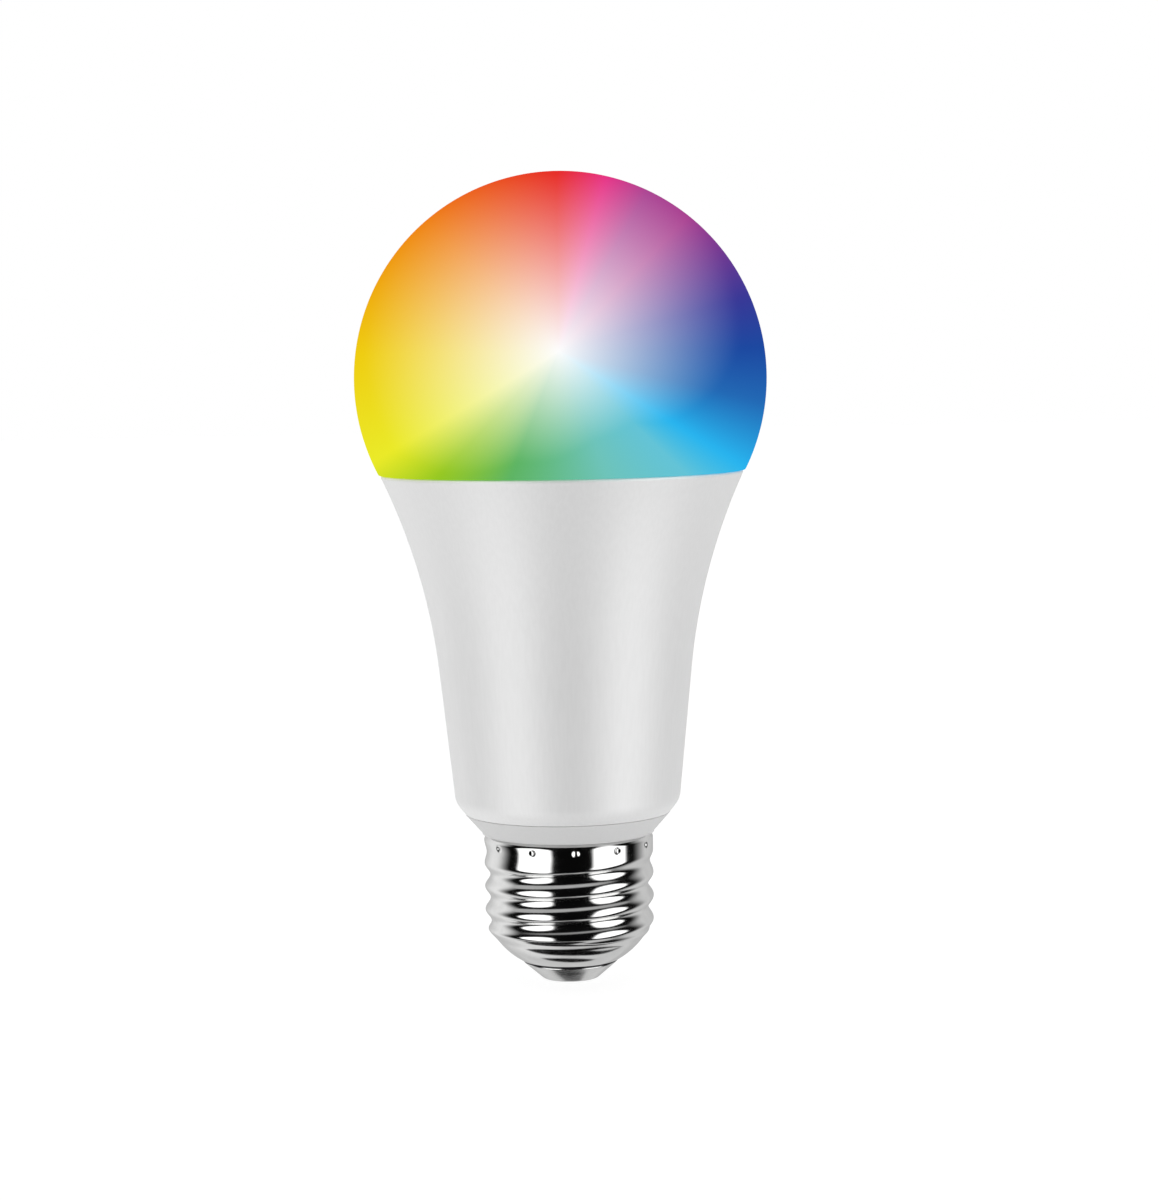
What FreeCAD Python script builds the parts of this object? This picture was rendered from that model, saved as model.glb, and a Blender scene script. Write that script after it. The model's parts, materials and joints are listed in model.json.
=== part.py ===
import FreeCAD, Part

import math
import os

import Sketcher
from FreeCAD import Placement, Rotation, Vector

# LED colour bulb with an E26 screw base, in millimetres.
# Z is the bulb's axis, pointing up from the base to the globe. The origin is the underside of the
# centre contact, where the bulb rests on the lampholder's spring. The front faces -Y.

# ---------------------------------------------------------------------------------------------
# Driving dimensions. They become named cells of the sheet, and every size below is bound to them.
# ---------------------------------------------------------------------------------------------
SIZES = {
    # globe and shells
    "globe_radius": 31.7,
    "globe_centre": 93.3,
    "globe_wall": 1.2,
    "pole_flat": 0.05,
    "seam": 79.0,
    "spigot_outer": 25.4,
    "spigot_wall": 1.2,
    "spigot_depth": 3.5,
    "snap_bead": 0.18,
    "housing_wall": 1.2,
    "flare_radius": 94.5,
    "flare_centre_out": 113.55,
    "flare_centre_up": 38.59,
    "rim_round": 0.45,
    "waist": 47.65,
    "waist_radius": 19.49,
    "corner": 28.73,
    "corner_radius": 17.63,
    "corner_round": 3.3,
    "parting": 26.2,
    "parting_radius": 16.0,
    "seat_clearance": 0.25,
    # metal inside the housing
    "cup_wall": 0.8,
    "cup_gap": 0.15,
    "cup_bottom": 32.0,
    "cup_collar": 68.5,
    "cup_top": 73.6,
    "cup_collar_radius": 22.4,
    "plate_top": 73.2,
    "plate_sheet": 1.2,
    "plate_flange": 4.4,
    "press_gap": 0.04,
    "pad_thick": 0.25,
    "pad_radius": 20.4,
    # circuit boards
    "board_radius": 21.0,
    "board_thick": 1.2,
    "driver_face": -2.4,
    "driver_thick": 1.2,
    "driver_half_width": 13.0,
    "driver_tail_half": 8.6,
    "driver_foot": 9.6,
    "driver_shoulder": 27.6,
    "driver_top": 60.0,
    "radio_face": 6.0,
    "radio_thick": 0.8,
    "radio_half_width": 7.5,
    "radio_foot": 63.0,
    "radio_top": 92.0,
    # lights
    "white_ring": 17.4,
    "white_length": 3.5,
    "white_width": 2.8,
    "white_high": 0.7,
    "colour_ring": 11.9,
    "colour_side": 5.0,
    "colour_high": 1.5,
    "screw_ring": 12.0,
    "screw_radius": 1.25,
    "screw_head_radius": 2.2,
    "screw_head_high": 1.5,
    "screw_foot": 69.6,
    # driver case
    "case_wall": 1.2,
    "case_tube_foot": 15.4,
    "case_tube_head": 15.9,
    "case_top": 62.0,
    "neck_radius": 11.75,
    "neck_wall": 1.35,
    "neck_foot": 9.4,
    "collar_foot_radius": 13.4,
    "collar_land": 0.2,
    # screw cap
    "cap_top": 23.0,
    "cap_crest": 13.15,
    "cap_pitch": 3.629,
    "cap_groove": 0.86,
    "cap_sheet": 0.3,
    "cap_lip_radius": 7.65,
    "cap_lip": 3.0,
    "cap_blend": 0.4,
    "cap_shoulder": 0.4,
    "shoulder_level": 8.3,
    "shoulder_half": 2.0,
    "cap_tuck": 22.1,
    "tuck_slope": 0.6,
    "tuck_round": 0.12,
    "bowl_radius": 11.9,
    "bowl_centre_out": 1.85,
    "bowl_centre_up": 13.43,
    "crest_datum": 16.5,
    "thread_foot": 7.2,
    "thread_foot_fade": 1.6,
    "half_groove": 0.46,
    "half_from": -0.45,
    "half_span": 0.6,
    "end_from": 0.75,
    "end_span": 0.8,
    "dent_level": 21.5,
    "dent_first": -115.0,
    "dent_ball": 0.65,
    "dent_pocket": 0.55,
    "dent_ball_out": 13.5,
    "contact_radius": 7.2,
    "contact_flat": 4.2,
    "contact_rim": 2.7,
    "contact_sheet": 0.45,
    "insulator_bore": 1.3,
    "pin_radius": 0.9,
    "wire_radius": 0.65,
}
DENTS = 12
WHITE_PAIRS = 10
COLOUR_LIGHTS = 6
BOARD_SCREWS = 3
LINK_PINS = 6


class Dim:
    """A length that carries the sheet expression it comes from."""

    def __init__(self, value, text):
        self.value = float(value)
        self.text = text

    def __add__(self, other):
        other = as_dim(other)
        return Dim(self.value + other.value, f"({self.text} + {other.text})")

    def __sub__(self, other):
        other = as_dim(other)
        return Dim(self.value - other.value, f"({self.text} - {other.text})")

    def __mul__(self, factor):
        return Dim(self.value * factor, f"({self.text} * {number(factor)})")

    def __neg__(self):
        return self * -1

    __radd__ = __add__
    __rmul__ = __mul__

    def __rsub__(self, other):
        return as_dim(other) - self


def number(value):
    """A plain number as sheet text, in brackets where it is negative."""
    text = f"{value:.12f}"
    return f"({text})" if value < 0 else text


def as_dim(value):
    return value if isinstance(value, Dim) else Dim(value, number(value))


class Sizes:
    """Named access to the driving dimensions."""

    def __getattr__(self, name):
        return Dim(SIZES[name], "Sizes." + name)


size = Sizes()
doc = FreeCAD.newDocument("smart_light_bulb")


def fill_sheet():
    """Writes each driving dimension as a plain number with its alias."""
    sheet = doc.addObject("Spreadsheet::Sheet", "Sizes")
    for row, (name, value) in enumerate(SIZES.items(), start=1):
        sheet.set(f"A{row}", name)
        sheet.set(f"B{row}", str(value))
        sheet.setAlias(f"B{row}", name)
    doc.recompute()


# ---------------------------------------------------------------------------------------------
# Building blocks
# ---------------------------------------------------------------------------------------------
def bind(item, prop, value):
    """Ties a property to the sheet."""
    item.setExpression(prop, as_dim(value).text)


def move(item, x=0.0, y=0.0, z=0.0, turn=None):
    """Places an object, its position bound to the sheet."""
    if turn:
        item.Placement = Placement(Vector(), turn)
    for letter, value in zip("xyz", (x, y, z)):
        bind(item, "Placement.Base." + letter, value)
    return item


def block(name, xs, ys, zs):
    """A block from its low and high faces on each axis."""
    solid = doc.addObject("Part::Box", name)
    for prop, (low, high) in zip(("Length", "Width", "Height"), (xs, ys, zs)):
        bind(solid, prop, as_dim(high) - low)
    return move(solid, xs[0], ys[0], zs[0])


def rod(name, radius, start, length, axis="Z"):
    """A cylinder from a start point along +X, +Y or +Z."""
    solid = doc.addObject("Part::Cylinder", name)
    bind(solid, "Radius", radius)
    bind(solid, "Height", length)
    turns = {
        "X": Rotation(Vector(0, 1, 0), 90),
        "Y": Rotation(Vector(1, 0, 0), -90),
        "Z": Rotation(),
    }
    return move(solid, *start, turn=turns[axis])


def ball(name, radius, x, y, z):
    solid = doc.addObject("Part::Sphere", name)
    bind(solid, "Radius", radius)
    return move(solid, x, y, z)


def group(name, solids):
    """Several separate solids that make up one node."""
    compound = doc.addObject("Part::Compound", name)
    compound.Links = solids
    return compound


def cut(name, base, tools):
    """Base with every tool taken out of it, and checked to have lost material."""
    tool = tools[0] if len(tools) == 1 else group(name + "_tools", tools)
    result = doc.addObject("Part::Cut", name)
    result.Base = base
    result.Tool = tool
    doc.recompute()
    if not result.Shape.Volume < base.Shape.Volume - 1e-3:
        raise RuntimeError(name + " lost nothing to its cut")
    return result


def fuse(name, solids):
    result = doc.addObject("Part::MultiFuse", name)
    result.Shapes = solids
    return result


def polar(radius, degrees):
    """X and Y of a point on a circle, bound to the sheet when the radius is."""
    angle = math.radians(degrees)
    return radius * math.cos(angle), radius * math.sin(angle)


def ring_of_blocks(name, angles, ring, length, width, low, high):
    """Blocks on a circle, each with its length along the radius."""
    blocks = []
    for index, degrees in enumerate(angles):
        solid = doc.addObject("Part::Box", f"{name}_{index}")
        bind(solid, "Length", length)
        bind(solid, "Width", width)
        bind(solid, "Height", as_dim(high) - low)
        inner, side = as_dim(ring) - length * 0.5, width * 0.5
        near_x, near_y = polar(inner, degrees)
        side_x, side_y = polar(side, degrees - 90)
        move(solid, near_x + side_x, near_y + side_y, low, Rotation(Vector(0, 0, 1), degrees))
        blocks.append(solid)
    return blocks


def origin_plane(body, role):
    return [item for item in body.Origin.OriginFeatures if item.Role == role][0]


def edge_between(start, end, arc):
    """A sketch edge: a line, or an arc that turns clockwise, or the other way for a negative radius."""
    if arc is None:
        return Part.LineSegment(start, end)
    radius = abs(arc.value)
    half = (end - start) * 0.5
    reach = math.sqrt(max(radius**2 - half.Length**2, 0.0))
    centre = start + half + Vector(-half.y, half.x, 0).normalize() * math.copysign(reach, -arc.value)
    first, last = (end, start) if arc.value > 0 else (start, end)
    angles = [math.atan2(point.y - centre.y, point.x - centre.x) for point in (first, last)]
    if angles[1] < angles[0]:
        angles[1] += 2 * math.pi
    return Part.ArcOfCircle(Part.Circle(centre, Vector(0, 0, 1), radius), *angles)


def outline_sketch(body, name, plane, corners):
    """A closed sketch whose corners, and the radii of whose arcs, are bound to the sheet.

    A corner is (across, up) or (across, up, arc), where arc is the radius of the edge that leaves it.
    """
    sketch = body.newObject("Sketcher::SketchObject", name)
    sketch.AttachmentSupport = [(origin_plane(body, plane), "")]
    sketch.MapMode = "FlatFace"
    corners = [(as_dim(c[0]), as_dim(c[1]), c[2] if len(c) > 2 else None) for c in corners]
    points = [Vector(across.value, up.value, 0) for across, up, _ in corners]
    ends = []
    for index, (_, _, arc) in enumerate(corners):
        start, end = points[index], points[(index + 1) % len(points)]
        sketch.addGeometry(edge_between(start, end, arc), False)
        at_start = (sketch.Geometry[index].StartPoint - start).Length < 1e-6
        ends.append((1, 2) if at_start else (2, 1))
    for index, (across, up, arc) in enumerate(corners):
        here, there = ends[index]
        after = (index + 1) % len(corners)
        sketch.addConstraint(Sketcher.Constraint("Coincident", index, there, after, ends[after][0]))
        for kind, line, value in (("DistanceX", -2, across), ("DistanceY", -1, up)):
            if abs(value.value) < 1e-9:
                sketch.addConstraint(Sketcher.Constraint("PointOnObject", index, here, line))
                continue
            row = sketch.addConstraint(Sketcher.Constraint(kind, -1, 1, index, here, value.value))
            bind(sketch, f"Constraints[{row}]", value)
        if arc is not None:
            radius = arc if arc.value > 0 else -arc
            row = sketch.addConstraint(Sketcher.Constraint("Radius", index, radius.value))
            bind(sketch, f"Constraints[{row}]", radius)
    return sketch


def turned(name, corners):
    """A body turned about Z from a half section of (radius, height) corners."""
    body = doc.addObject("PartDesign::Body", name)
    sketch = outline_sketch(body, name + "_section", "XZ_Plane", corners)
    turn = body.newObject("PartDesign::Revolution", name + "_turn")
    turn.Profile = sketch
    turn.ReferenceAxis = (sketch, ["V_Axis"])
    turn.Angle = 360.0
    doc.recompute()
    return body


def plate(name, plane, corners, thickness, offset):
    """A body padded from a flat outline, starting at an offset along the plane's normal."""
    body = doc.addObject("PartDesign::Body", name)
    sketch = outline_sketch(body, name + "_outline", plane, corners)
    bind(sketch, "AttachmentOffset.Base.z", offset)
    pad = body.newObject("PartDesign::Pad", name + "_pad")
    pad.Profile = sketch
    bind(pad, "Length", thickness)
    doc.recompute()
    return body


def disc(name, radius, bottom, thickness):
    """A round body padded from a circle."""
    body = doc.addObject("PartDesign::Body", name)
    sketch = body.newObject("Sketcher::SketchObject", name + "_circle")
    sketch.AttachmentSupport = [(origin_plane(body, "XY_Plane"), "")]
    sketch.MapMode = "FlatFace"
    bind(sketch, "AttachmentOffset.Base.z", bottom)
    sketch.addGeometry(Part.Circle(Vector(), Vector(0, 0, 1), radius.value), False)
    sketch.addConstraint(Sketcher.Constraint("Coincident", 0, 3, -1, 1))
    row = sketch.addConstraint(Sketcher.Constraint("Radius", 0, radius.value))
    bind(sketch, f"Constraints[{row}]", radius)
    pad = body.newObject("PartDesign::Pad", name + "_pad")
    pad.Profile = sketch
    bind(pad, "Length", thickness)
    doc.recompute()
    return body


def drilled(body, hole_radius, ring, first_angle, count):
    """Adds a through hole on a circle to a body, and repeats it round the axis."""
    before = body.Shape.Volume
    name = body.Name
    sketch = body.newObject("Sketcher::SketchObject", name + "_hole")
    sketch.AttachmentSupport = [(origin_plane(body, "XY_Plane"), "")]
    sketch.MapMode = "FlatFace"
    x, y = polar(ring, first_angle)
    sketch.addGeometry(Part.Circle(Vector(x.value, y.value, 0), Vector(0, 0, 1), 1), False)
    row = sketch.addConstraint(Sketcher.Constraint("Radius", 0, 1))
    bind(sketch, f"Constraints[{row}]", hole_radius)
    for kind, line, value in (("DistanceX", -2, x), ("DistanceY", -1, y)):
        if abs(value.value) < 1e-9:
            sketch.addConstraint(Sketcher.Constraint("PointOnObject", 0, 3, line))
        else:
            row = sketch.addConstraint(Sketcher.Constraint(kind, -1, 1, 0, 3, value.value))
            bind(sketch, f"Constraints[{row}]", value)
    pocket = body.newObject("PartDesign::Pocket", name + "_drill")
    pocket.Profile = sketch
    pocket.Type = "ThroughAll"
    pocket.Reversed = True
    doc.recompute()
    pattern = body.newObject("PartDesign::PolarPattern", name + "_holes")
    pattern.Originals = [pocket]
    pattern.Axis = (sketch, ["N_Axis"])
    pattern.Angle = 360.0
    pattern.Occurrences = count
    body.Tip = pattern
    doc.recompute()
    if not body.Shape.Volume < before - 1e-3:
        raise RuntimeError(name + " was not drilled")
    return body


def feature(name, shape):
    """A sub-part whose shape is worked out here from the sheet's sizes."""
    item = doc.addObject("Part::Feature", name)
    item.Shape = shape
    return item


# ---------------------------------------------------------------------------------------------
# Shells that show
# ---------------------------------------------------------------------------------------------
def circle_at(radius, level, centre):
    """Radius of a ball at a height, as a size in its own right."""
    return math.sqrt(radius.value**2 - (level.value - centre.value) ** 2)


def flare_at(level, inset=0.0):
    """Radius of the housing's flare at a height, inset from its outer skin."""
    reach = SIZES["flare_radius"] + inset
    return SIZES["flare_centre_out"] - math.sqrt(reach**2 - (level - SIZES["flare_centre_up"]) ** 2)


def draft_at(level, inset=0.0):
    """Radius of the housing's straight lower body at a height, inset from its outer skin."""
    slope = (SIZES["waist_radius"] - SIZES["corner_radius"]) / (SIZES["waist"] - SIZES["corner"])
    return (
        SIZES["waist_radius"]
        - slope * (SIZES["waist"] - level)
        - inset * math.sqrt(1 + slope**2)
    )


def diffuser():
    """Milky globe, open below, with a spigot that snaps into the housing."""
    inner = size.globe_radius - size.globe_wall
    floor = size.seam + size.globe_wall
    spigot_inner = size.spigot_outer - size.spigot_wall
    spigot_foot = size.seam - size.spigot_depth
    bead = size.seam - 2.3
    return turned(
        "diffuser",
        [
            (0, size.globe_centre + size.globe_radius),
            (size.pole_flat, size.globe_centre + size.globe_radius, size.globe_radius),
            (circle_at(size.globe_radius, size.seam, size.globe_centre), size.seam),
            (size.spigot_outer, size.seam),
            (size.spigot_outer, bead + 0.35),
            (size.spigot_outer + size.snap_bead, bead),
            (size.spigot_outer, bead - 0.35),
            (size.spigot_outer, spigot_foot),
            (spigot_inner, spigot_foot),
            (spigot_inner, floor),
            (circle_at(inner, floor, size.globe_centre), floor, -inner),
            (size.pole_flat, size.globe_centre + inner),
            (0, size.globe_centre + inner),
        ],
    )


def diffuser_sealant():
    """Ring of clear glue between the globe's spigot and the housing."""
    return turned(
        "diffuser_sealant",
        [
            (size.spigot_outer + 0.02, size.seam - 0.1),
            (size.spigot_outer + 0.23, size.seam - 0.1),
            (size.spigot_outer + 0.23, size.seam - 1.5),
            (size.spigot_outer + 0.02, size.seam - 1.5),
        ],
    )


def housing():
    """White outer shell: flared top, straight drafted body and a rounded lower edge."""
    rim = SIZES["seam"] - SIZES["rim_round"]
    inner_flare = size.flare_radius + size.housing_wall
    wall = SIZES["housing_wall"]
    seat = size.spigot_outer + size.seat_clearance
    seat_foot = size.seam - size.spigot_depth - 0.2
    inner_foot = size.parting + 2.0
    bore = size.case_tube_foot + 0.15
    return turned(
        "housing",
        [
            (seat, size.seam),
            (flare_at(SIZES["seam"]) - SIZES["rim_round"] * 0.6, size.seam),
            (flare_at(rim), rim, -size.flare_radius),
            (size.waist_radius, size.waist),
            (size.corner_radius, size.corner, size.corner_round),
            (size.parting_radius, size.parting),
            (bore, size.parting),
            (bore, inner_foot - 0.8),
            (draft_at(inner_foot.value, wall), inner_foot),
            (draft_at(SIZES["waist"], wall), size.waist, inner_flare),
            (flare_at(seat_foot.value, wall), seat_foot),
            (seat, seat_foot),
        ],
    )


def driver_case():
    """Plastic driver housing: neck inside the screw cap, conical collar that shows, and a tube."""
    collar_top = size.parting
    neck_inner = size.neck_radius - size.neck_wall
    tube_inner_foot = size.case_tube_foot - size.case_wall
    land = size.cap_top - 2.0
    land_radius = size.cap_crest - 0.7
    neck = turned(
        "driver_case_turning",
        [
            (neck_inner, size.neck_foot),
            (size.neck_radius - 0.35, size.neck_foot),
            (size.neck_radius, size.neck_foot + 2.0),
            (size.neck_radius, land),
            (land_radius, land),
            (land_radius, size.cap_top - 1.0),
            (land_radius - 0.4, size.cap_top),
            (size.collar_foot_radius, size.cap_top),
            (size.collar_foot_radius, size.cap_top + size.collar_land),
            (size.parting_radius - 0.04, collar_top - 0.08),
            (size.parting_radius - 0.04, collar_top),
            (size.case_tube_foot, collar_top),
            (size.case_tube_head, size.case_top),
            (size.case_tube_head - size.case_wall, size.case_top),
            (tube_inner_foot, collar_top - 0.6),
            (neck_inner, size.cap_top - 0.4),
        ],
    )
    rails = []
    for side in (-1, 1):
        near, far = sorted((12.4 * side, 14.6 * side))
        for face in (size.driver_face + 0.1, size.driver_face - size.driver_thick - 1.1):
            rails.append(block(f"board_rail_{len(rails)}", (near, far), (face, face + 1.0), (30, 58)))
    railed = fuse("driver_case_railed", [neck] + rails)
    doc.recompute()
    pockets = []
    for index, degrees in enumerate(dent_angles()):
        x, y = polar(size.dent_ball_out, degrees)
        pockets.append(ball(f"dent_pocket_{index}", size.dent_ball + size.dent_pocket, x, y, size.dent_level))
    return cut("driver_case", railed, pockets)


# ---------------------------------------------------------------------------------------------
# Screw cap
# ---------------------------------------------------------------------------------------------
def dent_angles():
    """Directions of the crimp dents that hold the cap on the neck."""
    return [(360.0 / DENTS) * index + SIZES["dent_first"] for index in range(DENTS)]


def smooth(share):
    """0 to 1 with level ends."""
    share = min(max(share, 0.0), 1.0)
    return share * share * (3 - 2 * share)


def cap_radius(angle, level):
    """Outer radius of the rolled cap at an angle and a height.

    The thread is right-handed. Its groove drops to half depth and then fades out over the last turn at
    the top, and fades into the bowl at the bottom. The edge at the top is tucked in under the collar.
    """
    crest, blend = SIZES["cap_crest"], SIZES["cap_blend"]
    below = min(level - SIZES["bowl_centre_up"], 0.0)
    bowl = SIZES["bowl_centre_out"] + math.sqrt(SIZES["bowl_radius"] ** 2 - below**2)
    from_shoulder = (level - SIZES["shoulder_level"]) / SIZES["shoulder_half"]
    bowl += SIZES["cap_shoulder"] * max(1 - from_shoulder**2, 0.0) ** 2
    share = min(max(0.5 + 0.5 * (crest - bowl) / blend, 0.0), 1.0)
    skin = crest * (1 - share) + bowl * share - blend * share * (1 - share)
    turns = (level - SIZES["crest_datum"]) / SIZES["cap_pitch"] - angle / (2 * math.pi)
    half_turns_up = 2 * math.floor(turns) + angle / math.pi
    half = SIZES["half_groove"]
    fade = 1 - half * smooth((half_turns_up - SIZES["half_from"]) / SIZES["half_span"])
    fade -= (1 - half) * smooth((half_turns_up - SIZES["end_from"]) / SIZES["end_span"])
    fade *= smooth((level - SIZES["thread_foot"]) / SIZES["thread_foot_fade"])
    tucked = max(level - SIZES["cap_tuck"], 0.0)
    skin -= SIZES["tuck_slope"] * tucked**2 / (tucked + SIZES["tuck_round"])
    return skin - SIZES["cap_groove"] * fade * (1 - math.cos(2 * math.pi * turns)) / 2


def cap_skin(low, high, inset, around=32, along=56):
    """Smooth closed solid bounded by the rolled skin between two heights."""
    spans = along - 3
    knots = [index / spans for index in range(spans + 1)]
    multiplicities = [4] + [1] * (spans - 1) + [4]
    padded = [0.0] * 3 + knots + [1.0] * 3
    shares = [sum(padded[index + 1 : index + 4]) / 3 for index in range(along)]
    ring_knots = [index / around for index in range(around + 1)]
    ring_ones = [1] * (around + 1)
    wanted = []
    for index in range(around):
        angle = 2 * math.pi * index / around
        column = []
        for share in shares:
            level = low + (high - low) * share
            radius = cap_radius(angle, level) - inset
            column.append(Vector(radius * math.cos(angle), radius * math.sin(angle), level))
        wanted.append(column)
    poles = [column[:] for column in wanted]
    surface = Part.BSplineSurface()
    for _ in range(6):
        surface.buildFromPolesMultsKnots(
            poles, ring_ones, multiplicities, ring_knots, knots, True, False, 3, 3
        )
        for index in range(around):
            for step in range(along):
                miss = wanted[index][step] - surface.value(((index - 1) / around) % 1, shares[step])
                poles[index][step] = poles[index][step] + miss
    surface.buildFromPolesMultsKnots(
        poles, ring_ones, multiplicities, ring_knots, knots, True, False, 3, 3
    )
    skin = surface.toShape()
    rims = [edge for edge in skin.Edges if edge.BoundBox.ZLength < 1e-5]
    shell = Part.makeShell([skin] + [Part.Face(Part.Wire(edge)) for edge in rims])
    shell.sewShape()
    solid = Part.Solid(shell)
    if solid.Volume < 0:
        solid.reverse()
    return solid


def screw_shell():
    """Rolled metal cap with the thread, the lower cone and the crimp dents, in even sheet."""
    outside, inside = [], []
    for degrees in dent_angles():
        angle = math.radians(degrees)
        out = SIZES["dent_ball_out"]
        centre = Vector(out * math.cos(angle), out * math.sin(angle), SIZES["dent_level"])
        outside.append(Part.makeSphere(SIZES["dent_ball"], centre))
        inside.append(Part.makeSphere(SIZES["dent_ball"] + SIZES["cap_sheet"], centre))
    outer = cap_skin(SIZES["cap_lip"], SIZES["cap_top"], 0.0).cut(outside)
    inner = cap_skin(SIZES["cap_lip"] - 0.4, SIZES["cap_top"] + 0.4, SIZES["cap_sheet"] * 1.15).cut(inside)
    return feature("screw_shell", outer.cut(inner))


def base_insulator():
    """Dark insulating cup between the cap's lip and the centre contact."""
    lip = size.cap_lip
    inner_cone = size.cap_lip_radius - 0.62
    return turned(
        "base_insulator",
        [
            (size.insulator_bore, size.contact_rim),
            (size.contact_radius + 0.18, size.contact_rim),
            (size.contact_radius + 0.18, lip - 0.03),
            (inner_cone - 0.1, lip - 0.03),
            (inner_cone, lip + 0.1),
            (inner_cone + 3.7, lip + 3.8),
            (inner_cone + 3.7, lip + 4.6),
            (inner_cone + 2.6, lip + 4.6),
            (inner_cone + 2.6, lip + 4.2),
            (inner_cone - 0.5, lip + 1.1),
            (size.insulator_bore + 1.3, lip + 1.1),
            (size.insulator_bore + 1.3, lip + 2.6),
            (size.insulator_bore, lip + 2.6),
        ],
    )


def centre_contact():
    """Pressed contact dish with a flat bottom."""
    sheet = size.contact_sheet
    return turned(
        "centre_contact",
        [
            (0, 0),
            (size.contact_flat, 0, as_dim(-1.1)),
            (size.contact_flat + 0.7, 0.28),
            (size.contact_radius, size.contact_rim - 0.4),
            (size.contact_radius, size.contact_rim),
            (size.contact_radius - sheet, size.contact_rim),
            (size.contact_radius - sheet, size.contact_rim - 0.2),
            (size.contact_flat + 0.4, 0.65),
            (size.contact_flat, sheet),
            (0, sheet),
        ],
    )


def contact_pin():
    """Rivet from the contact up through the insulator, where the live wire is soldered."""
    return turned(
        "contact_pin",
        [
            (0, size.contact_sheet),
            (2.0, size.contact_sheet),
            (2.0, size.contact_sheet + 0.5),
            (size.pin_radius, size.contact_sheet + 0.9),
            (size.pin_radius, 6.6),
            (0, 6.6),
        ],
    )


# ---------------------------------------------------------------------------------------------
# Metalwork and light engine
# ---------------------------------------------------------------------------------------------
def heat_sink_cup():
    """Thin aluminium cup that lines the housing and takes the plate's heat."""
    outer = SIZES["housing_wall"] + SIZES["cup_gap"]
    inner = outer + SIZES["cup_wall"]
    flare_outer = size.flare_radius + size.housing_wall + size.cup_gap
    collar_inner = size.cup_collar_radius - size.cup_wall
    bottom, collar = SIZES["cup_bottom"], SIZES["cup_collar"]
    return turned(
        "heat_sink_cup",
        [
            (size.cup_collar_radius, size.cup_top),
            (size.cup_collar_radius, size.cup_collar),
            (flare_at(collar - 0.4, outer), size.cup_collar - 0.4, -flare_outer),
            (draft_at(SIZES["waist"], outer), size.waist),
            (draft_at(bottom, outer), size.cup_bottom),
            (draft_at(bottom, inner), size.cup_bottom),
            (draft_at(SIZES["waist"], inner), size.waist, flare_outer + size.cup_wall),
            (flare_at(collar - 1.0, inner), size.cup_collar - 1.0),
            (collar_inner, size.cup_collar - 0.1),
            (collar_inner, size.cup_top),
        ],
    )


def link_window(name, low, high):
    """Slot that the board-to-board pins pass through."""
    return block(name, (-8.0, 8.0), (size.driver_face - 2.0, size.driver_face + 0.8), (low, high))


def radio_window(name, low, high):
    """Slot that the upright radio board passes through."""
    half = size.radio_half_width + 0.4
    return block(name, (-half, half), (size.radio_face - 0.3, size.radio_face + 1.1), (low, high))


def led_carrier_plate():
    """Pressed aluminium pan, pushed into the cup's collar, that the light board is screwed to."""
    rim = size.cup_collar_radius - size.cup_wall - size.press_gap
    under = size.plate_top - size.plate_sheet
    foot = size.plate_top - size.plate_flange
    pan = turned(
        "carrier_pan",
        [
            (0, size.plate_top),
            (rim, size.plate_top),
            (rim, foot),
            (rim - size.plate_sheet, foot),
            (rim - size.plate_sheet, under),
            (0, under),
        ],
    )
    drilled(pan, size.screw_radius + 0.05, size.screw_ring, 90, BOARD_SCREWS)
    windows = [
        link_window("carrier_link_slot", under - 1, size.plate_top + 1),
        radio_window("carrier_radio_slot", under - 1, size.plate_top + 1),
    ]
    return cut("led_carrier_plate", pan, windows)


def thermal_pad():
    """Soft heat-conducting sheet under the light board."""
    top = size.plate_top + size.pad_thick
    pad = disc("thermal_pad_disc", size.pad_radius, size.plate_top, size.pad_thick)
    drilled(pad, size.screw_radius + 0.3, size.screw_ring, 90, BOARD_SCREWS)
    windows = [
        link_window("pad_link_slot", size.plate_top - 1, top + 1),
        radio_window("pad_radio_slot", size.plate_top - 1, top + 1),
    ]
    return cut("thermal_pad", pad, windows)


def light_board_levels():
    """Underside and top of the light board."""
    under = size.plate_top + size.pad_thick
    return under, under + size.board_thick


def led_board():
    """Round metal-core circuit board that carries the lights."""
    under, top = light_board_levels()
    board = disc("led_board_disc", size.board_radius, under, size.board_thick)
    drilled(board, size.screw_radius + 0.15, size.screw_ring, 90, BOARD_SCREWS)
    windows = [
        link_window("board_link_slot", under - 1, top + 1),
        radio_window("board_radio_slot", under - 1, top + 1),
    ]
    return cut("led_board", board, windows)


def white_lights(tint, first_angle):
    """Ten white LED packages of one tint and the phosphor windows on top of them."""
    _, top = light_board_levels()
    angles = [first_angle + 360.0 / WHITE_PAIRS * index for index in range(WHITE_PAIRS)]
    cap = top + size.white_high
    length, width = size.white_length, size.white_width
    bodies = ring_of_blocks(tint + "_led", angles, size.white_ring, length, width, top, cap)
    window = (length - 0.9, width - 0.9)
    lenses = ring_of_blocks(tint + "_lens", angles, size.white_ring, *window, cap, cap + 0.06)
    return [group(tint + "_leds", bodies), group(tint + "_phosphors", lenses)]


def colour_lights():
    """Six three-colour LED packages, each with a round clear window."""
    _, top = light_board_levels()
    cap = top + size.colour_high
    angles = [360.0 / COLOUR_LIGHTS * index for index in range(COLOUR_LIGHTS)]
    bodies = ring_of_blocks(
        "rgb_led", angles, size.colour_ring, size.colour_side, size.colour_side, top, cap
    )
    windows = []
    for index, degrees in enumerate(angles):
        x, y = polar(size.colour_ring, degrees)
        windows.append(rod(f"rgb_window_{index}", size.colour_side * 0.38, (x, y, cap), 0.06))
    return [group("rgb_leds", bodies), group("rgb_led_windows", windows)]


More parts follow.
